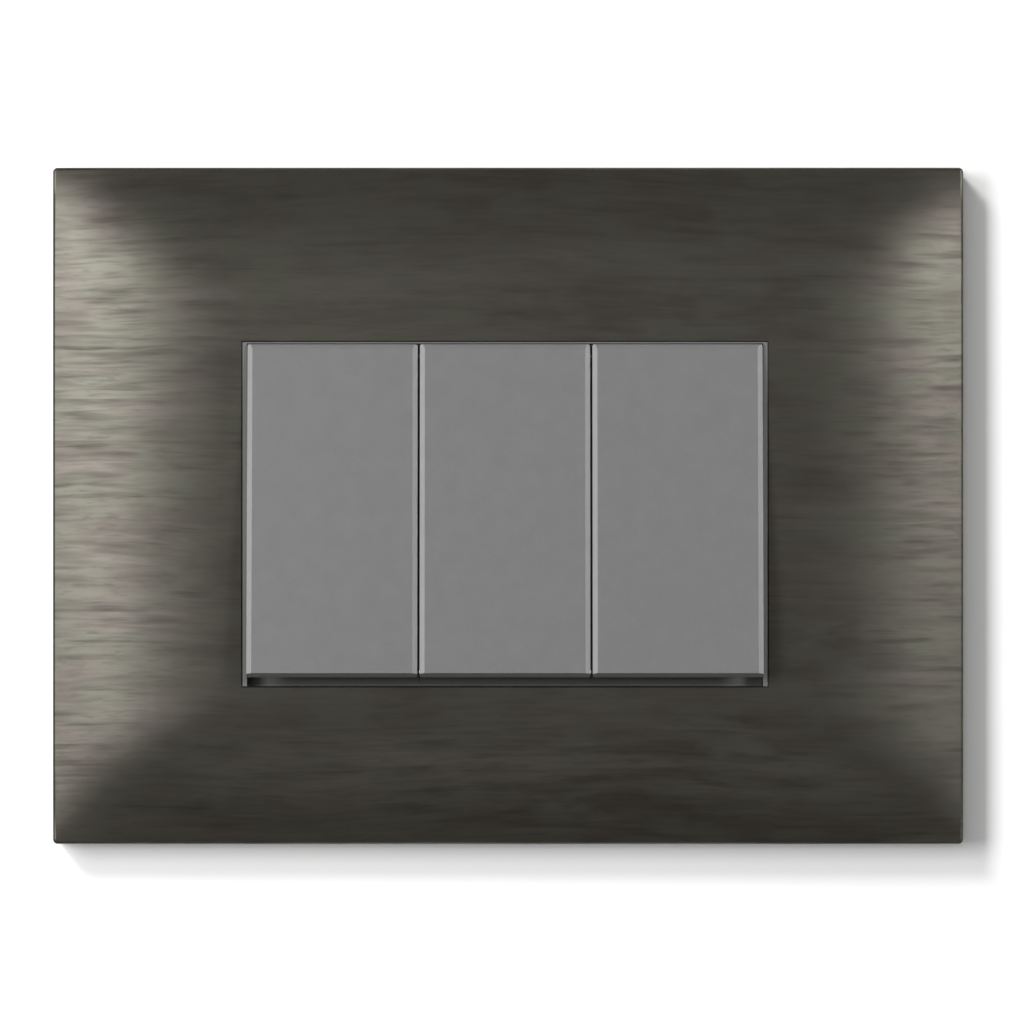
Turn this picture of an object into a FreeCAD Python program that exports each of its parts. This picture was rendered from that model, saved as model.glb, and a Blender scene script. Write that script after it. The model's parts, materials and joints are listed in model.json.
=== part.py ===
"""Three-module flush wall plate with three one-way rocker switches, in millimetres.

X runs to the right, Y into the wall and Z up. The origin lies on the wall plane, midway between the two
fixing screws. Everything in front of the wall has a negative Y. Each switch is drawn on its own centre line
with its rocker level, then its moving pieces are turned to the rest position and all are copied to the
three places."""

import FreeCAD, Part
import math
import os
from FreeCAD import Vector

OUT = "parts"

FAR_FRONT = -14.0  # a depth in front of every piece, where cuts begin

# Cover plate
PLATE_W = 119.8
PLATE_H = 89.0
PLATE_CORNER = 0.6
PLATE_SHIFT_X = 0.4  # the outline's centre stands right of the window's centre
PLATE_SHIFT_Z = 1.1  # and above it
PLATE_FRONT = -9.6  # front skin at the window's edge
PLATE_SIDE = -5.0  # front skin at the outer edge
PLATE_SKIN = 2.0
PLATE_WALL = 2.0
PLATE_EDGE_ROUND = 0.45
WINDOW_W = 68.6
WINDOW_H = 45.0
WINDOW_BEVEL = 0.15
WINDOW_COLLAR = 1.5  # wall round the window, behind the skin
PLATE_RIB = 1.0
PRY_NOTCH_W = 12.0  # in the lower edge, for a screwdriver
PRY_NOTCH_H = 1.6
PILLOW_POWER = 4  # higher gives a sharper ridge towards the corners
TRIM_FRONT = -9.45
TRIM_SILL = -6.9  # front of its lower bar, set back
TRIM_BACK = -6.3
TRIM_FIT = 0.03  # all round, between the trim and the window
TRIM_OPENING_W = 67.55
TRIM_OPENING_H = 44.6
TRIM_LIP = 0.07  # overhang of both upright bars in front of the bezels

# Support frame and its fixing screws
SCREW_SPACING = 83.5
FRAME_W = 107.0
FRAME_H = 76.0
FRAME_BASE = -2.0
FRAME_RIM = -4.0
FRAME_SEAT = -6.0  # the rails that carry the switches
FRAME_OPENING_W = 67.9
FRAME_OPENING_H = 42.0
FRAME_RIB_FRONT = -3.2
FRAME_RIB = 1.2
BOSS_FRONT = -3.5
BOSS_R = 5.6
FIXING_R = 1.75
FIXING_NECK_R = 1.45  # where the shank passes through the frame
FIXING_HEAD_R = 3.3
FIXING_HEAD_H = 2.1
FIXING_TIP = 20.0
HOOK_X = 47.5
HOOK_Z = 17.0
HOOK_WIDTH = 6.0
HOOK_T = 1.4

# Switch module
PITCH = 22.5
MODULE_W = 22.3
FLANGE_W = 22.44
FLANGE_H = 44.5
FLANGE_FRONT = -8.4
GROOVE_H = 1.9  # recess along the flange's lower edge
GROOVE_DEPTH = 1.5
BODY_H = 41.4
JOIN_Y = 4.0  # where the bezel's skirt meets the housing
REAR_Y = 28.0
WALL = 1.5
NIB_X = 7.5  # catches that hold the housing to the bezel
WIRE_X = 3.9

# Rocker
PIVOT_Y = -4.0
REST_TILT = -4.0  # degrees about X: the upper half is pressed in
KEY_W = 22.2
KEY_H = 43.4
KEY_FRONT = -11.6
KEY_SKIN = 1.3
KEY_WALL = 1.2
KEY_SIDE_BEVEL = (0.65, 0.24)  # across the face, into the depth
KEY_TOP_BEVEL = (0.55, 0.10)
KEY_BOTTOM_BEVEL = (0.50, 1.40)
KEY_CORNER = 0.25
TRUNNION_R = 1.5
TRUNNION_END = 9.65
NECK_R = 3.2
NECK_END = 8.0
BORE_R = 2.0
BORE_FLOOR = -1.5
POST_Z = 12.0

# Contact set and terminals
FULCRUM_Y = 12.5
FULCRUM_R = 0.5
CONTACT_TILT = 6.0  # degrees about X at rest: the lower end is pushed back
NOSE_Y = 9.8
BLADE_FRONT = 11.4
BLADE_T = 0.8
BLADE_HALF = 11.2
TIP_Z = -9.4
TIP_R = 1.4
STRIP_Y = 15.0
STRIP_T = 1.0
LUG_FRONT = 19.0
LUG_BACK = 20.4
CLAMP_Z = 16.4
CLAMP_FRONT = 23.3
HEAD_FRONT = 24.35
HEAD_BACK = 26.6
PARTITION_Z = 12.0

MODULES = {"left": -PITCH, "middle": 0.0, "right": PITCH}


# Basic shapes


def block(x0, x1, y0, y1, z0, z1):
    return Part.makeBox(x1 - x0, y1 - y0, z1 - z0, Vector(x0, y0, z0))


def slab(width, height, y0, y1, x=0.0, z=0.0):
    """A block centred on x and z, from y0 to y1."""
    return block(x - width / 2, x + width / 2, y0, y1, z - height / 2, z + height / 2)


def edges_along_y(shape):
    """The straight edges that run front to back."""
    found = []
    for edge in shape.Edges:
        a, b = edge.Vertexes[0].Point, edge.Vertexes[-1].Point
        if abs(a.x - b.x) < 1e-6 and abs(a.z - b.z) < 1e-6:
            found.append(edge)
    return found


def rounded_slab(width, height, radius, y0, y1, x=0.0, z=0.0):
    shape = slab(width, height, y0, y1, x, z)
    return shape.makeFillet(radius, edges_along_y(shape))


def rod_y(x, z, radius, y0, y1):
    return Part.makeCylinder(radius, y1 - y0, Vector(x, y0, z), Vector(0, 1, 0))


def rod_x(y, z, radius, x0, x1):
    return Part.makeCylinder(radius, x1 - x0, Vector(x0, y, z), Vector(1, 0, 0))


def cone_y(x, z, r0, r1, y0, y1):
    return Part.makeCone(r0, r1, y1 - y0, Vector(x, y0, z), Vector(0, 1, 0))


def prism_x(points, x0, x1):
    """An outline of (y, z) points, drawn from x0 to x1."""
    corners = [Vector(x0, y, z) for y, z in points]
    face = Part.Face(Part.makePolygon(corners + corners[:1]))
    return face.extrude(Vector(x1 - x0, 0, 0))


def prism_z(points, z0, z1):
    """An outline of (y, x) points, drawn from z0 to z1."""
    corners = [Vector(x, y, z0) for y, x in points]
    face = Part.Face(Part.makePolygon(corners + corners[:1]))
    return face.extrude(Vector(0, 0, z1 - z0))


def join(shapes):
    return shapes[0].fuse(shapes[1:]).removeSplitter()


def frustum(width, height, y0, y1, grow):
    """A pyramid stump centred on the Y axis: width by height at y0, larger by grow on every side at y1."""
    wires = []
    for y, extra in ((y0, 0.0), (y1, grow)):
        w, h = width / 2 + extra, height / 2 + extra
        corners = [Vector(-w, y, -h), Vector(w, y, -h), Vector(w, y, h), Vector(-w, y, h)]
        wires.append(Part.makePolygon(corners + corners[:1]))
    return Part.makeLoft(wires, True, True)


def both_ways(make):
    """A piece for +Z and its mirror image for -Z."""
    upper = make()
    return [upper, upper.mirror(Vector(0, 0, 0), Vector(0, 0, 1))]


def four_corners(make):
    """A piece for +X +Z and its images in the other three quarters."""
    pieces = both_ways(make)
    return pieces + [p.mirror(Vector(0, 0, 0), Vector(1, 0, 0)) for p in pieces]


def cross_recess(x, z, y_head, depth, toward):
    """A cross-shaped driver recess that narrows with depth. toward is +1 if the head faces +Y, or -1."""
    arm, width = 1.75, 0.7
    pieces = []
    for length, height in ((2 * arm, width), (width, 2 * arm)):
        wires = []
        for y, share in ((y_head + 0.01 * toward, 1.0), (y_head - depth * toward, 0.35)):
            w, h = length * share / 2, height * max(share, 0.6) / 2
            if length < height:
                w, h = length * max(share, 0.6) / 2, height * share / 2
            corners = [Vector(x - w, y, z - h), Vector(x + w, y, z - h)]
            corners += [Vector(x + w, y, z + h), Vector(x - w, y, z + h)]
            wires.append(Part.makePolygon(corners + corners[:1]))
        pieces.append(Part.makeLoft(wires, True, True))
    return join(pieces)


# Cover plate


def pillow_y(x, z):
    """Front skin of the plate: level at the window, falling to one height all round the outer edge."""
    reach_x = PLATE_W / 2 + math.copysign(PLATE_SHIFT_X, x)
    reach_z = PLATE_H / 2 + math.copysign(PLATE_SHIFT_Z, z)
    u = max(0.0, (abs(x) - WINDOW_W / 2) / (reach_x - WINDOW_W / 2))
    v = max(0.0, (abs(z) - WINDOW_H / 2) / (reach_z - WINDOW_H / 2))
    share = 1.0 - (1.0 - u**PILLOW_POWER) * (1.0 - v**PILLOW_POWER)
    return PLATE_FRONT + (PLATE_SIDE - PLATE_FRONT) * share ** (2.0 / PILLOW_POWER)


def pillow_face():
    over, nx, nz = 0.6, 62, 48
    half_w, half_h = PLATE_W / 2 + over, PLATE_H / 2 + over
    grid = []
    for i in range(nx):
        x = PLATE_SHIFT_X + half_w * (2.0 * i / (nx - 1) - 1.0)
        row = []
        for k in range(nz):
            z = PLATE_SHIFT_Z + half_h * (2.0 * k / (nz - 1) - 1.0)
            row.append(Vector(x, pillow_y(x, z), z))
        grid.append(row)
    surface = Part.BSplineSurface()
    surface.interpolate(grid)
    return surface.toShape()


def plate_hook():
    """One snap hook behind the plate: an arm with a short barb that faces outwards."""
    z0, z1 = HOOK_Z - HOOK_WIDTH / 2, HOOK_Z + HOOK_WIDTH / 2
    inner_x, outer_x = HOOK_X - HOOK_T / 2, HOOK_X + HOOK_T / 2
    arm = block(inner_x, outer_x, -8.0, -0.6, z0, z1)
    barb = block(outer_x, outer_x + 0.5, -1.7, -1.0, z0, z1)
    gusset = block(inner_x - 1.5, inner_x, -8.0, -5.6, HOOK_Z - 0.6, HOOK_Z + 0.6)
    return join([arm, barb, gusset])


def plate_backing():
    """Collar round the window, four ribs and four snap hooks, drawn long enough to reach the front skin."""
    collar_w, collar_h = WINDOW_W + 2 * WINDOW_COLLAR, WINDOW_H + 2 * WINDOW_COLLAR
    collar = rounded_slab(collar_w, collar_h, 0.8, FAR_FRONT, -6.25)
    rib_back, end_z = -6.6, 31.0
    across = [block(-HOOK_X, HOOK_X, FAR_FRONT, rib_back, z, z + PLATE_RIB) for z in (-31.0, 30.0)]
    upright = [block(x, x + PLATE_RIB, FAR_FRONT, rib_back, -end_z, end_z) for x in (-44.2, 43.2)]
    return join([collar] + across + upright + four_corners(plate_hook))


def cover_plate():
    face = pillow_face()
    past_wall, reach = 3.0, 20.0
    at = {"x": PLATE_SHIFT_X, "z": PLATE_SHIFT_Z}
    outline = rounded_slab(PLATE_W, PLATE_H, PLATE_CORNER, FAR_FRONT, 0.0, **at)
    body = face.extrude(Vector(0, reach, 0)).common(outline)
    rim = [e for e in body.Edges if e.BoundBox.YMin > PLATE_SIDE - 0.2 and e.BoundBox.YMax < PLATE_SIDE + 0.2]
    body = body.makeFillet(PLATE_EDGE_ROUND, rim)
    inner_face = face.copy()
    inner_face.translate(Vector(0, PLATE_SKIN, 0))
    inner = rounded_slab(PLATE_W - 2 * PLATE_WALL, PLATE_H - 2 * PLATE_WALL, 0.6, FAR_FRONT, past_wall, **at)
    hollow = inner_face.extrude(Vector(0, reach, 0)).common(inner)
    plate = body.cut(hollow).fuse(hollow.common(plate_backing()))
    plate = plate.cut(slab(WINDOW_W, WINDOW_H, FAR_FRONT, past_wall))
    bevel = frustum(WINDOW_W, WINDOW_H, PLATE_FRONT + WINDOW_BEVEL, PLATE_FRONT - 1.0, WINDOW_BEVEL + 1.0)
    lower_edge = PLATE_SHIFT_Z - PLATE_H / 2
    notch = slab(PRY_NOTCH_W, PRY_NOTCH_H, -1.4, 0.2, z=lower_edge + 0.6)
    return plate.cut([bevel, notch])


def window_trim():
    """Thin grey rim pressed into the plate's window."""
    outer = slab(WINDOW_W - 2 * TRIM_FIT, WINDOW_H - 2 * TRIM_FIT, TRIM_FRONT, TRIM_BACK)
    mouth = TRIM_OPENING_W - 2 * TRIM_LIP
    opening = slab(mouth, TRIM_OPENING_H, TRIM_FRONT - 1, TRIM_BACK + 1)
    behind = slab(TRIM_OPENING_W, TRIM_OPENING_H, FLANGE_FRONT - 0.1, TRIM_BACK + 1)
    sill = slab(mouth, 2.0, TRIM_FRONT - 1, TRIM_SILL, z=-WINDOW_H / 2)
    return outer.cut([opening, behind, sill])


# Support frame


def frame_boss(side):
    return rod_y(side * SCREW_SPACING / 2, 0, BOSS_R, BOSS_FRONT, 0)


def frame_ribs():
    """Low ribs round the opening: two along the frame, the others from the opening to the rim."""
    half = FRAME_RIB / 2
    long_z, side_z, short_x = 29.0, 9.0, (-30.0, -10.0, 10.0, 30.0)
    spans = [(-FRAME_W / 2 + 1, FRAME_W / 2 - 1, z - half, z + half) for z in (-long_z, long_z)]
    for x in short_x:
        spans += [(x - half, x + half, z0, z0 + 14.5) for z0 in (-37.0, 22.5)]
    for z in (-side_z, side_z):
        spans += [(x0, x0 + 18.5, z - half, z + half) for x0 in (-53.0, 34.5)]
    return [block(x0, x1, FRAME_RIB_FRONT, 0, z0, z1) for x0, x1, z0, z1 in spans]


def support_frame():
    base = rounded_slab(FRAME_W, FRAME_H, 3.0, FRAME_BASE, 0)
    rim = rounded_slab(FRAME_W, FRAME_H, 3.0, FRAME_RIM, 0)
    rim = rim.cut(rounded_slab(FRAME_W - 3.2, FRAME_H - 3.2, 1.6, FRAME_RIM - 1, 1))
    collar = rounded_slab(FRAME_OPENING_W + 3.2, FRAME_OPENING_H + 5.0, 0.8, FRAME_SEAT, 0)
    solid = join([base, rim, collar, frame_boss(-1), frame_boss(1)] + frame_ribs())
    cuts = [slab(FRAME_OPENING_W, FRAME_OPENING_H, FAR_FRONT, 1)]
    cuts.append(slab(FRAME_OPENING_W + 4.6, FRAME_OPENING_H + 4.5, -0.25, 1))
    for side in (-1, 1):
        cuts.append(rounded_slab(4.2, 7.6, 2.05, FAR_FRONT, 1, x=side * SCREW_SPACING / 2))
    cuts += four_corners(lambda: slab(4.4, HOOK_WIDTH + 1.0, FAR_FRONT, 1, x=HOOK_X + 0.3, z=HOOK_Z))
    for x in (-20.0, 0.0, 20.0):
        cuts += both_ways(lambda x=x: rounded_slab(13.0, 4.0, 1.0, FAR_FRONT, 1, x=x, z=33.2))
    return solid.cut(cuts)


def fixing_screw(side):
    x = side * SCREW_SPACING / 2
    head_front, taper = BOSS_FRONT - FIXING_HEAD_H, 0.8
    head = rod_y(x, 0, FIXING_HEAD_R, head_front, BOSS_FRONT)
    rim = [e for e in head.Edges if e.BoundBox.YMax < head_front + 1e-3]
    head = head.makeFillet(0.9, rim)
    neck = rod_y(x, 0, FIXING_NECK_R, BOSS_FRONT, 0)
    shank = rod_y(x, 0, FIXING_R, 0, FIXING_TIP - taper)
    tip = cone_y(x, 0, FIXING_R, 0.9, FIXING_TIP - taper, FIXING_TIP)
    return join([head, neck, shank, tip]).cut(cross_recess(x, 0, head_front, 1.5, -1))


# Switch module, fixed pieces


def pivot_cheek():
    """Pad inside a side wall, with a half-round seat that is open to the back for the rocker's trunnion."""
    seat_r = TRUNNION_R + 0.05
    pad = block(8.7, MODULE_W / 2 - 0.5, FLANGE_FRONT + 1.0, 1.0, -4.0, 4.0)
    seat = rod_x(PIVOT_Y, 0, seat_r, 8.0, 9.75)
    slot = block(8.0, 9.75, PIVOT_Y, 2.0, -seat_r, seat_r)
    return pad.cut([seat, slot])


def snap_tongue():
    """Barb on the end of the skirt that grips behind the support frame's rail."""
    z0 = BODY_H / 2
    outline = [(0.1, z0 - 0.5), (0.1, z0 + 1.2), (0.8, z0 + 1.2), (3.0, z0 + 0.1), (3.0, z0 - 0.5)]
    return prism_x(outline, -4.0, 4.0)


def gable_wall(x0, x1):
    """Low wall that closes the gap under the tilted key, highest beside the pivot."""
    ridge, foot, reach = KEY_FRONT + KEY_SKIN + 0.45, FLANGE_FRONT + 0.2, 19.0
    return prism_x([(foot, -reach), (ridge, 0.0), (foot, reach)], x0, x1)


def bezel():
    flange = slab(FLANGE_W, FLANGE_H, FLANGE_FRONT, FRAME_SEAT)
    skirt = slab(MODULE_W, BODY_H, FRAME_SEAT, JOIN_Y)
    walls = [gable_wall(x0, x0 + 0.8) for x0 in (-9.6, 8.8)]
    solid = join([flange, skirt] + walls)
    window = slab(17.6, 37.0, FLANGE_FRONT - 3, FRAME_SEAT + 0.5)
    hollow = slab(MODULE_W - 2 * 1.25, BODY_H - 2 * WALL, FRAME_SEAT + 0.1, JOIN_Y + 1)
    groove_z = (GROOVE_H - FLANGE_H) / 2
    groove = slab(FLANGE_W, GROOVE_H, FLANGE_FRONT, FLANGE_FRONT + GROOVE_DEPTH, z=groove_z)
    solid = solid.cut([window, hollow, groove])
    cheek = pivot_cheek()
    cheeks = [cheek, cheek.mirror(Vector(0, 0, 0), Vector(1, 0, 0))]
    nibs = []
    for x in (-NIB_X, NIB_X):
        outline = [(1.4, BODY_H / 2 - 0.3), (1.4, BODY_H / 2 + 0.5), (2.6, BODY_H / 2 - 0.3)]
        nibs += both_ways(lambda x=x, o=outline: prism_x(o, x - 1.0, x + 1.0))
    return join([solid] + cheeks + both_ways(snap_tongue) + nibs)


def latch_arm(x):
    """Arm of the housing that hooks over a nib on the bezel's skirt."""
    z0 = BODY_H / 2 + 0.05
    arm = block(x - 1.9, x + 1.9, 0.5, JOIN_Y + 2.5, z0, z0 + 0.9)
    root = block(x - 1.9, x + 1.9, JOIN_Y + 0.6, JOIN_Y + 2.5, z0 - 0.6, z0 + 0.9)
    return join([arm, root]).cut(block(x - 1.15, x + 1.15, 1.25, 2.9, z0 - 0.5, z0 + 1.5))


def terminal_cuts():
    """Openings of one terminal: the driver hole in the back and two wire entries in the end wall."""
    cuts = [rod_y(0, CLAMP_Z, 3.0, REAR_Y - 3, REAR_Y + 1)]
    cuts.append(cone_y(0, CLAMP_Z, 3.0, 3.5, REAR_Y - 0.5, REAR_Y + 0.001))
    mid_y = (LUG_BACK + CLAMP_FRONT) / 2
    for x in (-WIRE_X, WIRE_X):
        cuts.append(block(x - 1.55, x + 1.55, mid_y - 1.4, mid_y + 1.4, 18.0, 22.0))
        cuts.append(block(x - 1.85, x + 1.85, mid_y - 1.7, mid_y + 1.7, BODY_H / 2 - 0.35, 22.0))
    return join(cuts)


def partition():
    wall = block(-MODULE_W / 2 + 1, MODULE_W / 2 - 1, 8.5, REAR_Y - 1, PARTITION_Z, PARTITION_Z + 1.0)
    return wall.cut(block(-3.2, 3.2, STRIP_Y - 0.3, STRIP_Y + STRIP_T + 0.3, PARTITION_Z - 1, PARTITION_Z + 2))


def housing():
    outer = slab(MODULE_W, BODY_H, JOIN_Y, REAR_Y)
    back = [e for e in outer.Edges if e.BoundBox.YMin > REAR_Y - 0.01]
    outer = outer.makeChamfer(1.2, back)
    hollow = slab(MODULE_W - 2 * WALL, BODY_H - 2 * WALL, JOIN_Y - 1, REAR_Y - 2.0)
    solid = outer.cut(hollow)
    arms = []
    for x in (-NIB_X, NIB_X):
        arms += both_ways(lambda x=x: latch_arm(x))
    solid = join([solid] + both_ways(partition) + arms)
    cuts = both_ways(terminal_cuts)
    cuts.append(slab(11.0, 13.0, REAR_Y - 0.35, REAR_Y + 1))
    for x in (-8.6, 8.6):
        cuts.append(slab(1.4, 30.0, REAR_Y - 0.5, REAR_Y + 1, x=x))
    return solid.cut(cuts)


def lug():
    """Threaded plate of a terminal with the riser that joins it to its strip."""
    plate = block(-6.4, 6.4, LUG_FRONT, LUG_BACK, 13.4, 18.9)
    riser = block(-3.0, 3.0, STRIP_Y, LUG_FRONT, 13.4, 14.4)
    return join([plate, riser]).cut(rod_y(0, CLAMP_Z, FIXING_R + 0.03, LUG_FRONT - 1, LUG_BACK + 1))


def common_terminal():
    """Upper terminal: its strip ends in the round ridge on which the moving contact rocks."""
    strip = block(-2.6, 2.6, STRIP_Y, STRIP_Y + STRIP_T, -1.6, 14.4)
    foot = FULCRUM_Y + 1.2
    outline = [(FULCRUM_Y, -0.45), (foot, -1.5), (STRIP_Y, -1.5), (STRIP_Y, 1.5), (foot, 1.5), (FULCRUM_Y, 0.45)]
    ridge = rod_x(FULCRUM_Y, 0, FULCRUM_R, -2.6, 2.6)
    return join([lug(), strip, prism_x(outline, -2.6, 2.6), ridge])


def switched_terminal():
    """Lower terminal: its strip ends behind the moving contact's tip."""
    lower_lug = lug().mirror(Vector(0, 0, 0), Vector(0, 0, 1))
    strip = block(-2.6, 2.6, STRIP_Y, STRIP_Y + STRIP_T, -14.4, TIP_Z + 2.2)
    return join([lower_lug, strip]).cut(rod_y(0, TIP_Z, 0.7, STRIP_Y - 1, STRIP_Y + 2))


def fixed_tip():
    pad = rod_y(0, TIP_Z, TIP_R, STRIP_Y - 0.6, STRIP_Y)
    return join([pad, rod_y(0, TIP_Z, 0.7, STRIP_Y - 0.1, STRIP_Y + STRIP_T + 0.15)])


def terminal_screw():
    head = rod_y(0, CLAMP_Z, 2.7, HEAD_FRONT, HEAD_BACK)
    rim = [e for e in head.Edges if e.BoundBox.YMin > HEAD_BACK - 1e-3]
    head = head.makeFillet(0.5, rim)
    shank = rod_y(0, CLAMP_Z, FIXING_R, 16.3, HEAD_FRONT)
    tip = cone_y(0, CLAMP_Z, 1.1, FIXING_R, 15.7, 16.3)
    return join([head, shank, tip]).cut(cross_recess(0, CLAMP_Z, HEAD_BACK, 1.3, 1))


def clamp_washer():
    """Square washer under a terminal screw's head, with its outer lips turned towards the wires."""
    plate = block(-6.4, 6.4, CLAMP_FRONT, HEAD_FRONT - 0.05, 13.9, 18.8)
    lips = [block(x, x + 0.6, CLAMP_FRONT - 0.8, CLAMP_FRONT, 13.9, 18.8) for x in (-6.4, 5.8)]
    hole = rod_y(0, CLAMP_Z, FIXING_R + 0.1, CLAMP_FRONT - 1, HEAD_FRONT)
    return join([plate] + lips).cut(hole)


# Switch module, moving pieces, drawn level


def bevelled(half, back, low, high):
    """Outline of a slab's section, as (depth, offset) points, with a bevel cut off each front corner."""
    points = [(back, half), (KEY_FRONT + high[1], half), (KEY_FRONT, half - high[0])]
    return points + [(KEY_FRONT, low[0] - half), (KEY_FRONT + low[1], -half), (back, -half)]


def rocker_key():
    back = PIVOT_Y - 5.0
    side = bevelled(KEY_H / 2, back, KEY_BOTTOM_BEVEL, KEY_TOP_BEVEL)
    plan = bevelled(KEY_W / 2, back, KEY_SIDE_BEVEL, KEY_SIDE_BEVEL)
    lengthways = prism_x(side, -KEY_W / 2, KEY_W / 2)
    across = prism_z(plan, -KEY_H / 2, KEY_H / 2)
    shell = lengthways.common(across)
    shell = shell.makeFillet(KEY_CORNER, edges_along_y(shell))
    inner_front = KEY_FRONT + KEY_SKIN
    hollow = slab(KEY_W - 2 * KEY_WALL, KEY_H - 2 * KEY_WALL, inner_front, 0)
    end_y, mid_y, reach = -10.2, -9.2, KEY_H / 2 + 0.1
    relief = [(mid_y, 0.0), (end_y, reach), (0.0, reach), (0.0, -reach), (end_y, -reach)]
    shell = shell.cut([hollow, prism_x(relief, -KEY_W, KEY_W)])
    sockets = []
    for z in (-POST_Z, POST_Z):
        ring = slab(8.4, 5.4, inner_front - 0.2, -7.85, z=z)
        sockets.append(ring.cut(slab(6.3, 3.3, inner_front, 0, z=z)))
    stiffener = slab(1.0, 2 * POST_Z - 5.0, inner_front - 0.2, -9.3)
    return join([shell, stiffener] + sockets)


def rocker_lever():
    hub = rod_x(PIVOT_Y, 0, 2.8, -8.4, 8.4)
    trunnions = rod_x(PIVOT_Y, 0, TRUNNION_R, -TRUNNION_END, TRUNNION_END)
    platform = slab(15.6, 33.0, -7.8, -6.4)
    web = [(-6.5, -15.5), (-6.5, 15.5), (-2.6, 2.2), (-2.6, -2.2)]
    webs = [prism_x(web, x, x + 1.1) for x in (-7.8, -0.55, 6.7)]
    neck = rod_y(0, 0, NECK_R, PIVOT_Y, NECK_END)
    collar = rod_y(0, 0, NECK_R + 0.5, 0.2, 1.4)
    posts = [slab(6.0, 3.0, -9.4, -7.7, z=z) for z in (-POST_Z, POST_Z)]
    bore = rod_y(0, 0, BORE_R, BORE_FLOOR, NECK_END + 1)
    mouth = cone_y(0, 0, BORE_R, BORE_R + 0.4, NECK_END - 0.4, NECK_END + 0.001)
    return join([hub, trunnions, platform, neck, collar] + webs + posts).cut([bore, mouth])


def plunger():
    rod = rod_y(0, 0, BORE_R - 0.08, 4.5, NOSE_Y)
    nose = Part.makeSphere(BORE_R - 0.5, Vector(0, NOSE_Y, 0))
    shoulder = cone_y(0, 0, BORE_R - 0.08, BORE_R - 0.5, NOSE_Y, NOSE_Y + 0.4)
    spigot = rod_y(0, 0, 1.0, 3.6, 4.6)
    return join([rod, nose, shoulder, spigot])


def plunger_spring():
    """Compression spring between the bore's floor and the plunger's shoulder."""
    wire_r, coil_r, pitch = 0.2, 1.5, 0.95
    y0, y1 = BORE_FLOOR + wire_r + 0.05, 4.5 - wire_r - 0.05
    helix = Part.makeHelix(pitch, y1 - y0, coil_r)
    section = Part.Wire(Part.makeCircle(wire_r, Vector(coil_r, 0, 0), Vector(0, 1, 0)))
    spring = Part.Wire(helix).makePipeShell([section], True, True)
    spring.rotate(Vector(0, 0, 0), Vector(1, 0, 0), -90)
    spring.translate(Vector(0, y0, 0))
    return spring


def moving_contact():
    """Blade with a groove that rocks on the common terminal's ridge, and two ears that keep it in place."""
    back = BLADE_FRONT + BLADE_T
    blade = block(-2.8, 2.8, BLADE_FRONT, back, -BLADE_HALF, BLADE_HALF)
    ears = [block(x, x + 0.7, BLADE_FRONT, back + 1.6, -1.8, 1.8) for x in (-3.5, 2.8)]
    groove = rod_x(FULCRUM_Y, 0, FULCRUM_R + 0.08, -2.8, 2.8)
    return join([blade] + ears).cut([groove, rod_y(0, TIP_Z, 0.7, BLADE_FRONT - 1, back + 1)])


def moving_tip():
    back = BLADE_FRONT + BLADE_T
    pad = rod_y(0, TIP_Z, TIP_R, back, back + 1.0)
    return join([pad, rod_y(0, TIP_Z, 0.7, BLADE_FRONT - 0.15, back + 0.1)])


def turned(shape, y, degrees):
    """A copy turned about the X-wise axis at depth y and height 0."""
    moved = shape.copy()
    moved.rotate(Vector(0, y, 0), Vector(1, 0, 0), degrees)
    return moved


def module_pieces():
    """Every piece of one switch at rest, on its own centre line."""
    rocker = {"rocker_key": rocker_key(), "rocker_lever": rocker_lever()}
    rocker.update({"plunger": plunger(), "plunger_spring": plunger_spring()})
    pieces = {name: turned(shape, PIVOT_Y, REST_TILT) for name, shape in rocker.items()}
    contact = {"moving_contact": moving_contact(), "moving_tip": moving_tip()}
    pieces.update({name: turned(shape, FULCRUM_Y, CONTACT_TILT) for name, shape in contact.items()})
    pieces["bezel"] = bezel()
    pieces["housing"] = housing()
    pieces["common_terminal"] = common_terminal()
    pieces["switched_terminal"] = switched_terminal()
    pieces["fixed_tip"] = fixed_tip()
    pieces["terminal_screws"] = Part.makeCompound(both_ways(terminal_screw))
    pieces["clamp_washers"] = Part.makeCompound(both_ways(clamp_washer))
    return pieces


def write(name, shape):
    solids = shape.Solids
    if not solids or not shape.isValid():
        raise ValueError(name + " is not a valid solid")
    shape.exportStep(os.path.join(OUT, name + ".step"))
    print("%-26s %d solid(s) %9.1f mm3" % (name, len(solids), sum(s.Volume for s in solids)))


def main():
    os.makedirs(OUT, exist_ok=True)
    write("cover_plate", cover_plate())
    write("window_trim", window_trim())
    write("support_frame", support_frame())
    write("fixing_screws", Part.makeCompound([fixing_screw(-1), fixing_screw(1)]))
    pieces = module_pieces()
    for place, x in MODULES.items():
        for name, shape in pieces.items():
            copy = shape.copy()
            copy.translate(Vector(x, 0, 0))
            write(place + "_" + name, copy)


main()
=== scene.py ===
"""Looks of the three-module wall plate: camera, wall, lights, finishes and the threaded fixing screws."""

import json
import math

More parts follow.
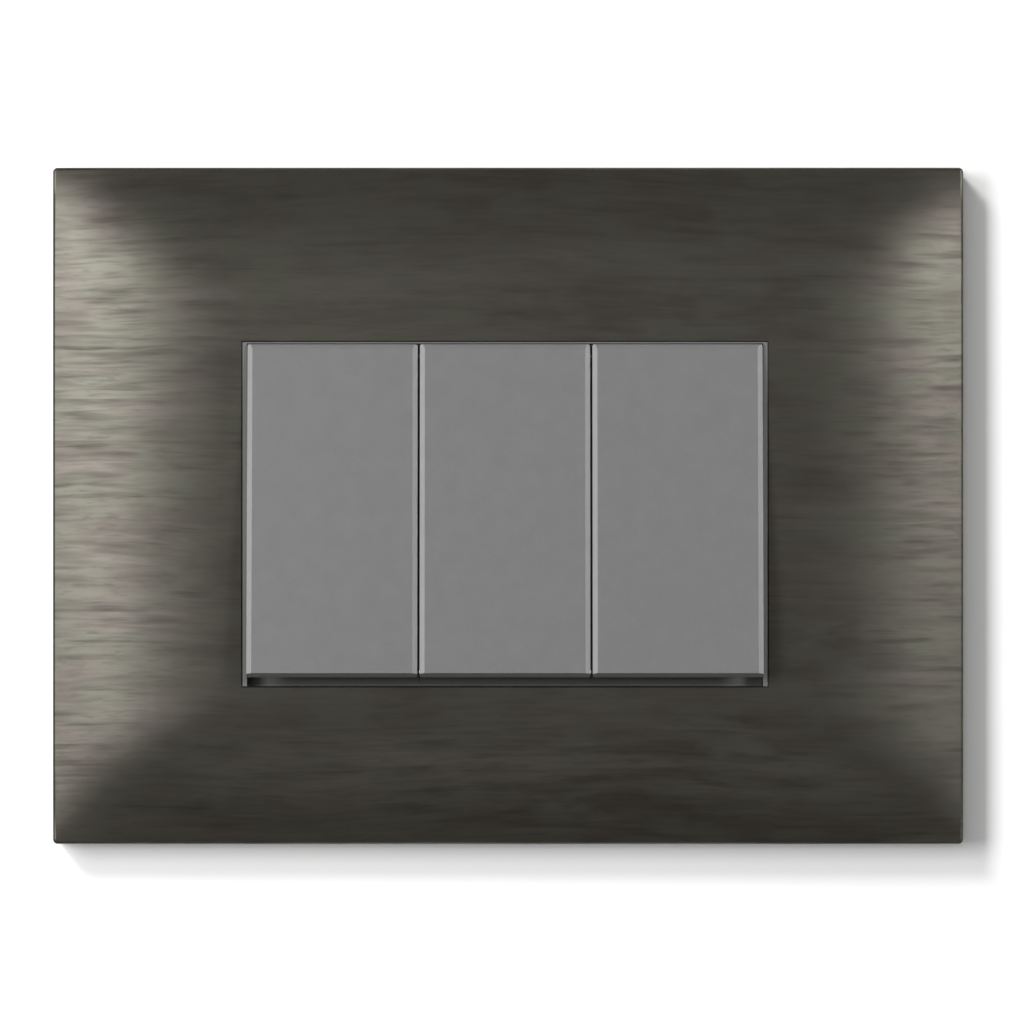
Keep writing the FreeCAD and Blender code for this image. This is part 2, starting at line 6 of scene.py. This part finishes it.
import bmesh
import bpy
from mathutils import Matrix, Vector

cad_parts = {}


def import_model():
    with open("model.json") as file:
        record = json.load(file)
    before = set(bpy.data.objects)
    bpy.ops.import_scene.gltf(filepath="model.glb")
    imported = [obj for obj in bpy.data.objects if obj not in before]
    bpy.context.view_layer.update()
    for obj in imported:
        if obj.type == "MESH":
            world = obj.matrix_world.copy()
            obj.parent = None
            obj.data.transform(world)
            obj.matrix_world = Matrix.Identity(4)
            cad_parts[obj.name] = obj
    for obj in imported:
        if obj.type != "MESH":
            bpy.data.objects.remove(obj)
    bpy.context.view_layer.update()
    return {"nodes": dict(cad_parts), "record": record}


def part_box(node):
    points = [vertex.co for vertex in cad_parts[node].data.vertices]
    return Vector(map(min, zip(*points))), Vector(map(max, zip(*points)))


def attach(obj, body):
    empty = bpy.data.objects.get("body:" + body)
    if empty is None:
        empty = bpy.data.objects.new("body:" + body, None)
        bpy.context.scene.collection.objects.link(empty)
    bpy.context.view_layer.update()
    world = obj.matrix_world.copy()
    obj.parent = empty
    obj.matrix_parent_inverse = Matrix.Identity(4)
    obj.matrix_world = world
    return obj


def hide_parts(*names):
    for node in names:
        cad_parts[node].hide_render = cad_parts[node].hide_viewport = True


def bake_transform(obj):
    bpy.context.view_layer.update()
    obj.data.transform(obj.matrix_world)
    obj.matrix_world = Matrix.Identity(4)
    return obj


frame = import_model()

RECORD = frame["record"]

# Camera
CAM_X = 0.00091
CAM_Z = 0.00029
CAM_DISTANCE = 0.615
FRAME_WIDTH = 0.13469  # what the frame spans at the plate's front edge
EDGE_Y = -0.005

# Wall, with its cut-out centred behind the plate's outline
WALL_W, WALL_H, WALL_T = 0.34, 0.32, 0.0015
HOLE_X, HOLE_Z = 0.0004, 0.0011
HOLE_W, HOLE_H = 0.1155, 0.0845

# Fixing screw threads
HEAD_R = 0.0033
THREAD_R = 0.00175
THREAD_DEPTH = 0.0004
THREAD_PITCH = 0.0006
THREAD_START = 0.0  # depth where the CAD shank is cut off and the thread begins
THREAD_RUN_IN = 0.0015  # over this length the thread grows to its full depth
TIP_LENGTH = 0.0012  # over this length it narrows to the tip
TIP_SHARE = 0.45  # of the full radius, at the tip's end

PLACES = ("left", "middle", "right")


# Shader graphs


class Graph:
    """A material's node tree with short ways to add and join nodes."""

    def __init__(self, name):
        self.material = bpy.data.materials.new(name)
        self.material.use_nodes = True
        self.tree = self.material.node_tree
        self.shader = self.tree.nodes["Principled BSDF"]
        self.coords = self.tree.nodes.new("ShaderNodeTexCoord").outputs["Object"]

    def add(self, kind, values=None, **settings):
        node = self.tree.nodes.new(kind)
        for key, value in settings.items():
            setattr(node, key, value)
        for key, value in (values or {}).items():
            self.put(node.inputs[key], value)
        return node

    def put(self, socket, value):
        if isinstance(value, bpy.types.NodeSocket):
            self.tree.links.new(value, socket)
        else:
            socket.default_value = value

    def stretch(self, scale, vector=None):
        values = {"Vector": vector or self.coords, "Scale": scale}
        return self.add("ShaderNodeMapping", values).outputs["Vector"]

    def noise(self, vector, scale=1.0, detail=3.0, rough=0.5):
        values = {"Vector": vector, "Scale": scale, "Detail": detail, "Roughness": rough}
        return self.add("ShaderNodeTexNoise", values).outputs["Fac"]

    def ramp(self, fac, low, high, out_low=0.0, out_high=1.0):
        values = {"Value": fac, "From Min": low, "From Max": high, "To Min": out_low, "To Max": out_high}
        return self.add("ShaderNodeMapRange", values).outputs["Result"]

    def math(self, operation, a, b):
        node = self.add("ShaderNodeMath", operation=operation)
        self.put(node.inputs[0], a)
        self.put(node.inputs[1], b)
        return node.outputs[0]

    def mix(self, fac, a, b, mode="MIX"):
        node = self.add("ShaderNodeMix", data_type="RGBA", blend_type=mode)
        self.put(node.inputs[0], fac)
        self.put(node.inputs[6], a)
        self.put(node.inputs[7], b)
        return node.outputs[2]

    def bump(self, height, strength, distance):
        values = {"Height": height, "Strength": strength, "Distance": distance}
        self.put(self.shader.inputs["Normal"], self.add("ShaderNodeBump", values).outputs["Normal"])

    def set(self, **values):
        for key, value in values.items():
            self.put(self.shader.inputs[key.replace("_", " ")], value)
        return self


def rgb(r, g, b):
    return (r, g, b, 1.0)


def wood_metal():
    """Metallic lacquer over a soft dark wood grain that runs across the plate."""
    g = Graph("wood_metal")
    # The grain's lines run along X and drift up and down by a few millimetres.
    arch = g.noise(g.stretch((15.0, 30.0, 30.0)), detail=1.0)
    ripple = g.noise(g.stretch((60.0, 90.0, 120.0)), detail=2.0)
    lift = g.math("ADD", g.math("MULTIPLY", g.math("SUBTRACT", arch, 0.5), 0.0060),
                  g.math("MULTIPLY", g.math("SUBTRACT", ripple, 0.5), 0.0006))
    shift = g.add("ShaderNodeCombineXYZ", {"Z": lift}).outputs["Vector"]
    place = g.add("ShaderNodeVectorMath", {0: g.coords, 1: shift}, operation="ADD").outputs["Vector"]
    # Lines of three sizes, over a ground that changes shade in bands and tint in patches.
    broken = g.ramp(g.noise(g.stretch((120.0, 90.0, 420.0), place), detail=2.0), 0.34, 0.62)
    fine = g.ramp(g.noise(g.stretch((75.0, 60.0, 1250.0), place), detail=2.0, rough=0.6), 0.44, 0.68)
    strong = g.ramp(g.noise(g.stretch((62.0, 60.0, 600.0), place), detail=2.0, rough=0.55), 0.53, 0.78)
    pores = g.ramp(g.noise(g.stretch((280.0, 500.0, 2000.0), place), detail=2.0, rough=0.6), 0.50, 0.74)
    band = g.noise(g.stretch((30.0, 30.0, 260.0), place), detail=3.0, rough=0.65)
    patch = g.noise(g.stretch((130.0, 60.0, 300.0)), detail=3.0)
    lines = g.math("MAXIMUM", g.math("MULTIPLY", fine, broken), strong)
    grain = g.math("MAXIMUM", lines, g.math("MULTIPLY", pores, 0.5))
    tone = g.mix(g.ramp(band, 0.34, 0.66), rgb(0.060, 0.052, 0.043), rgb(0.097, 0.087, 0.074))
    tinted = g.mix(g.ramp(patch, 0.38, 0.62), tone, rgb(0.083, 0.081, 0.063))
    colour = g.mix(g.math("MULTIPLY", grain, 0.50), tinted, rgb(0.026, 0.021, 0.016))
    g.bump(g.math("SUBTRACT", 1.0, pores), 0.05, 0.00004)
    g.set(Base_Color=colour, Metallic=0.65, Roughness=g.ramp(grain, 0.0, 1.0, 0.35, 0.44))
    return g.material


def silver_paint(name, light, dark, rough=0.5):
    """Grey paint with fine flake and a barely visible orange-peel surface."""
    g = Graph(name)
    flake = g.noise(g.coords, 5200.0, 2.0, 0.7)
    mottle = g.noise(g.coords, 420.0, 3.0)
    blend = g.math("ADD", g.math("MULTIPLY", g.ramp(flake, 0.3, 0.7), 0.4), g.math("MULTIPLY", mottle, 0.6))
    g.bump(g.noise(g.coords, 1500.0, 2.0), 0.05, 0.00004)
    polish = g.ramp(flake, 0.3, 0.7, rough - 0.05, rough + 0.05)
    g.set(Base_Color=g.mix(blend, dark, light), Metallic=0.35, Roughness=polish)
    return g.material


def moulded(name, light, dark, rough, grain_scale):
    """Moulded plastic: spark-eroded texture, slow shade drift and faint rubbed patches."""
    g = Graph(name)
    drift = g.noise(g.coords, 70.0, 3.0)
    spark = g.noise(g.coords, grain_scale, 3.0, 0.65)
    rub = g.ramp(g.noise(g.stretch((260.0, 90.0, 420.0)), detail=4.0), 0.6, 0.75)
    shade = g.mix(g.math("ADD", g.math("MULTIPLY", drift, 0.7), g.math("MULTIPLY", spark, 0.3)), dark, light)
    g.bump(spark, 0.22, 0.00006)
    base = g.ramp(spark, 0.3, 0.7, rough - 0.06, rough + 0.06)
    g.set(Base_Color=shade, Roughness=g.math("SUBTRACT", base, g.math("MULTIPLY", rub, 0.1)))
    return g.material


def worked_metal(name, light, dark, lines, rough):
    """Rolled or turned metal with fine lines, and tarnish that collects in patches."""
    g = Graph(name)
    line = g.noise(g.stretch(lines), detail=2.0, rough=0.6)
    tarnish = g.ramp(g.noise(g.coords, 480.0, 4.0, 0.6), 0.42, 0.72)
    shade = g.mix(g.math("MULTIPLY", tarnish, 0.7), light, dark)
    colour = g.mix(g.ramp(line, 0.35, 0.65, 0.0, 0.25), shade, dark)
    g.bump(line, 0.12, 0.00003)
    worn = g.math("ADD", g.ramp(line, 0.3, 0.7, rough - 0.05, rough + 0.07), g.math("MULTIPLY", tarnish, 0.12))
    g.set(Base_Color=colour, Metallic=1.0, Roughness=worn)
    return g.material


def wall_paint():
    g = Graph("wall_paint")
    roller = g.noise(g.coords, 900.0, 4.0, 0.6)
    g.bump(roller, 0.05, 0.0001)
    shade = g.mix(g.noise(g.coords, 60.0), rgb(0.90, 0.90, 0.90), rgb(0.93, 0.93, 0.925))
    g.set(Base_Color=shade, Roughness=0.75)
    return g.material


def grey(light, dark, warm=0.0):
    """Two nearly neutral greys, with a little less blue the warmer they are."""
    return rgb(light, light, light - warm), rgb(dark, dark, dark - warm)


def finishes():
    """Material for each of the record's slots."""
    steel = rgb(0.60, 0.60, 0.58), rgb(0.36, 0.35, 0.33)
    wire = rgb(0.55, 0.55, 0.54), rgb(0.30, 0.30, 0.29)
    brass = rgb(0.78, 0.57, 0.27), rgb(0.42, 0.27, 0.12)
    silver = rgb(0.80, 0.79, 0.75), rgb(0.5, 0.48, 0.44)
    frame_grey = rgb(0.075, 0.077, 0.080), rgb(0.052, 0.053, 0.056)
    housing_grey = rgb(0.052, 0.053, 0.056), rgb(0.034, 0.035, 0.037)
    cream = rgb(0.74, 0.72, 0.66), rgb(0.64, 0.62, 0.56)
    white = rgb(0.82, 0.81, 0.77), rgb(0.72, 0.71, 0.66)
    return {
        "cover_plate": wood_metal(),
        "keys": silver_paint("silver_paint", *grey(0.240, 0.188, 0.001)),
        "window_trim": silver_paint("trim_grey", *grey(0.195, 0.180, 0.003), 0.55),
        "bezels": moulded("bezel_plastic", *grey(0.105, 0.090, 0.002), 0.65, 3000.0),
        "support_frame": moulded("frame_plastic", *frame_grey, 0.55, 2600.0),
        "housings": moulded("housing_plastic", *housing_grey, 0.5, 3400.0),
        "levers": moulded("lever_plastic", *cream, 0.42, 3000.0),
        "plungers": moulded("plunger_plastic", *white, 0.3, 4200.0),
        "springs": worked_metal("spring_wire", *wire, (900.0, 900.0, 900.0), 0.3),
        "fixing_screws": worked_metal("zinc_plate", *steel, (2600.0, 300.0, 2600.0), 0.3),
        "terminal_screws": worked_metal("zinc_terminal", *steel, (2400.0, 400.0, 2400.0), 0.32),
        "clamp_washers": worked_metal("pressed_steel", *steel, (300.0, 2600.0, 2600.0), 0.36),
        "contact_strips": worked_metal("rolled_brass", *brass, (2600.0, 2600.0, 240.0), 0.3),
        "contact_tips": worked_metal("contact_silver", *silver, (1800.0, 1800.0, 1800.0), 0.28),
    }


def paint_nodes(materials):
    slot_of = {entry["node"]: entry["material_slot"] for entry in RECORD["subparts"]}
    for name, obj in frame["nodes"].items():
        obj.data.materials.clear()
        obj.data.materials.append(materials[slot_of[name]])


# Threaded fixing screws


def add_thread(bm, x, y0, y1):
    """Adds a screw thread along Y, its ends closed, from y0 to a blunt tip at y1."""
    sides, rings_per_turn, flank = 40, 10, 0.44
    steps = int((y1 - y0) / THREAD_PITCH * rings_per_turn)
    rings = []
    for i in range(steps + 1):
        y = y0 + (y1 - y0) * i / steps
        taper = min(1.0, (y1 - y) / TIP_LENGTH + TIP_SHARE)
        growth = min(1.0, (y - y0) / THREAD_RUN_IN)
        ring = []
        for k in range(sides):
            turn = 2.0 * math.pi * k / sides
            phase = ((y - y0) / THREAD_PITCH + k / sides) % 1.0
            crest = 1.0 - min(1.0, abs(phase - 0.5) / flank)
            r = (THREAD_R - THREAD_DEPTH * (1.0 - crest) * growth) * taper
            ring.append(bm.verts.new((x + r * math.cos(turn), y, r * math.sin(turn))))
        rings.append(ring)
    for a, b in zip(rings, rings[1:]):
        for k in range(sides):
            n = (k + 1) % sides
            bm.faces.new((a[k], a[n], b[n], b[k]))
    bm.faces.new(rings[0])
    bm.faces.new(list(reversed(rings[-1])))


def new_object(name, data):
    obj = bpy.data.objects.new(name, data)
    bpy.context.scene.collection.objects.link(obj)
    return obj


def fixing_screws(material):
    """The CAD heads with real threads in place of their plain shanks."""
    low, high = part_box("fixing_screws")
    spacing = (high.x - low.x) - 2 * HEAD_R
    bm = bmesh.new()
    bm.from_mesh(frame["nodes"]["fixing_screws"].data)
    geometry = bm.verts[:] + bm.edges[:] + bm.faces[:]
    plane = {"plane_co": (0, THREAD_START, 0), "plane_no": (0, 1, 0)}
    bmesh.ops.bisect_plane(bm, geom=geometry, clear_outer=True, **plane)
    for side in (-1, 1):
        add_thread(bm, side * spacing / 2, THREAD_START, high.y)
    bmesh.ops.recalc_face_normals(bm, faces=bm.faces[:])
    mesh = bpy.data.meshes.new("threaded_fixing_screws")
    bm.to_mesh(mesh)
    bm.free()
    mesh.materials.append(material)
    obj = new_object("threaded_fixing_screws", mesh)
    smooth(obj, 35.0)
    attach(obj, "base")
    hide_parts("fixing_screws")


def coil_springs(material):
    """Copies of the plunger springs in the spring finish, shown in place of the CAD springs."""
    for place in PLACES:
        node = place + "_plunger_spring"
        mesh = frame["nodes"][node].data.copy()
        mesh.materials.clear()
        mesh.materials.append(material)
        obj = new_object(place + "_coil", mesh)
        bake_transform(obj)
        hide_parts(node)


def smooth(obj, degrees):
    """Smooth shading with hard edges where two faces meet more sharply than this."""
    mesh = obj.data
    mesh.polygons.foreach_set("use_smooth", [True] * len(mesh.polygons))
    bm = bmesh.new()
    bm.from_mesh(mesh)
    limit = math.radians(degrees)
    for edge in bm.edges:
        edge.smooth = len(edge.link_faces) == 2 and edge.calc_face_angle(0.0) < limit
    bm.to_mesh(mesh)
    bm.free()


# Wall, camera and lights


def wall_board(material):
    """A wall board with a cut-out behind the plate, hidden by it from the front."""
    x0, x1, z0, z1 = -WALL_W / 2, WALL_W / 2, -WALL_H / 2, WALL_H / 2
    a0, a1 = HOLE_X - HOLE_W / 2, HOLE_X + HOLE_W / 2
    b0, b1 = HOLE_Z - HOLE_H / 2, HOLE_Z + HOLE_H / 2
    outer = [(x0, z0), (x1, z0), (x1, z1), (x0, z1)]
    inner = [(a0, b0), (a1, b0), (a1, b1), (a0, b1)]
    bm = bmesh.new()
    front = [bm.verts.new((x, 0.0, z)) for x, z in outer + inner]
    back = [bm.verts.new((x, WALL_T, z)) for x, z in outer + inner]
    for k in range(4):
        n = (k + 1) % 4
        bm.faces.new((front[k], front[n], front[4 + n], front[4 + k]))
        bm.faces.new((back[k], back[4 + k], back[4 + n], back[n]))
        bm.faces.new((front[k], back[k], back[n], front[n]))
        bm.faces.new((front[4 + k], front[4 + n], back[4 + n], back[4 + k]))
    bmesh.ops.recalc_face_normals(bm, faces=bm.faces[:])
    mesh = bpy.data.meshes.new("wall_board")
    bm.to_mesh(mesh)
    bm.free()
    mesh.materials.append(material)
    obj = new_object("wall_board", mesh)
    return obj


def backdrop():
    """White surround that only the camera sees, so that it adds no light."""
    bpy.ops.mesh.primitive_ico_sphere_add(subdivisions=4, radius=4.0)
    obj = bpy.context.object
    obj.name = "backdrop"
    material = bpy.data.materials.new("backdrop_white")
    material.use_nodes = True
    tree = material.node_tree
    tree.nodes.clear()
    emission = tree.nodes.new("ShaderNodeEmission")
    emission.inputs["Color"].default_value = rgb(1.0, 1.0, 1.0)
    output = tree.nodes.new("ShaderNodeOutputMaterial")
    tree.links.new(emission.outputs[0], output.inputs[0])
    obj.data.materials.append(material)
    for ray in ("diffuse", "glossy", "transmission", "volume_scatter", "shadow"):
        setattr(obj, "visible_" + ray, False)


def area_light(name, place, target, width, height, watts):
    data = bpy.data.lights.new(name, "AREA")
    data.shape = "RECTANGLE"
    data.size = width
    data.size_y = height
    data.energy = watts
    obj = new_object(name, data)
    obj.location = place
    obj.rotation_euler = (Vector(target) - Vector(place)).to_track_quat("-Z", "Y").to_euler()
    obj.visible_camera = False
    return obj


def light_wall(light, wall, state):
    """The wall is the only thing this light reaches (INCLUDE), or the only thing it leaves out (EXCLUDE)."""
    group = bpy.data.collections.new(light.name + "_wall")
    group.objects.link(wall)
    group.collection_objects[0].light_linking.link_state = state
    light.light_linking.receiver_collection = group


def around(azimuth, elevation, distance):
    """A place in front of the plate: azimuth to the right and elevation up, in degrees."""
    a, e = math.radians(azimuth), math.radians(elevation)
    return (distance * math.sin(a) * math.cos(e), -distance * math.cos(a) * math.cos(e), distance * math.sin(e))


def lights(wall):
    """A strip on the left and a panel on the right make the plate's bright ends. The wall has two of its own."""
    near, middle = 0.87, (0.0, 0.0, 0.0)
    area_light("key_strip", around(-40.5, 9, near), middle, 0.28, 0.46, 4.9)
    area_light("key_spill", around(-22, 15, near), middle, 0.20, 0.40, 0.6)
    right = area_light("right_panel", around(44, 14, near), middle, 0.20, 0.36, 3.6)
    wall_fill = area_light("wall_fill", around(0, 0, 1.2), middle, 0.50, 0.50, 3.2)
    wall_key = area_light("wall_key", around(-40, 38, 1.5), middle, 0.36, 0.36, 15.0)
    light_wall(right, wall, "EXCLUDE")
    light_wall(wall_fill, wall, "INCLUDE")
    light_wall(wall_key, wall, "INCLUDE")
    area_light("front_fill", around(0, 12, 1.6), middle, 0.80, 0.60, 0.45)
    area_light("low_fill", around(0, -28, 1.2), middle, 0.50, 0.30, 0.3)
    behind = (0.0, 0.01, 0.0)
    area_light("back_left", (-0.7, 0.9, 0.7), behind, 0.6, 0.6, 22.0)
    area_light("back_right", (0.8, 0.8, 0.4), behind, 0.6, 0.6, 14.0)


def world():
    scene = bpy.context.scene
    scene.world = bpy.data.worlds.new("studio")
    scene.world.use_nodes = True
    shade = scene.world.node_tree.nodes["Background"]
    shade.inputs["Color"].default_value = rgb(1.0, 1.0, 1.0)
    shade.inputs["Strength"].default_value = 0.085
    scene.view_settings.view_transform = "Standard"
    scene.view_settings.look = "None"


def camera():
    data = bpy.data.cameras.new("camera")
    data.sensor_width = 36.0
    data.lens = 36.0 * (CAM_DISTANCE + EDGE_Y) / FRAME_WIDTH
    data.clip_start = 0.01
    data.clip_end = 20.0
    obj = new_object("camera", data)
    obj.location = (CAM_X, -CAM_DISTANCE, CAM_Z)
    obj.rotation_euler = (math.radians(90.0), 0.0, 0.0)
    bpy.context.scene.camera = obj


def main():
    camera()
    world()
    materials = finishes()
    paint_nodes(materials)
    for obj in frame["nodes"].values():
        obj.data.polygons.foreach_set("use_smooth", [True] * len(obj.data.polygons))
    fixing_screws(materials["fixing_screws"])
    coil_springs(materials["springs"])
    wall = wall_board(wall_paint())
    backdrop()
    lights(wall)


main()
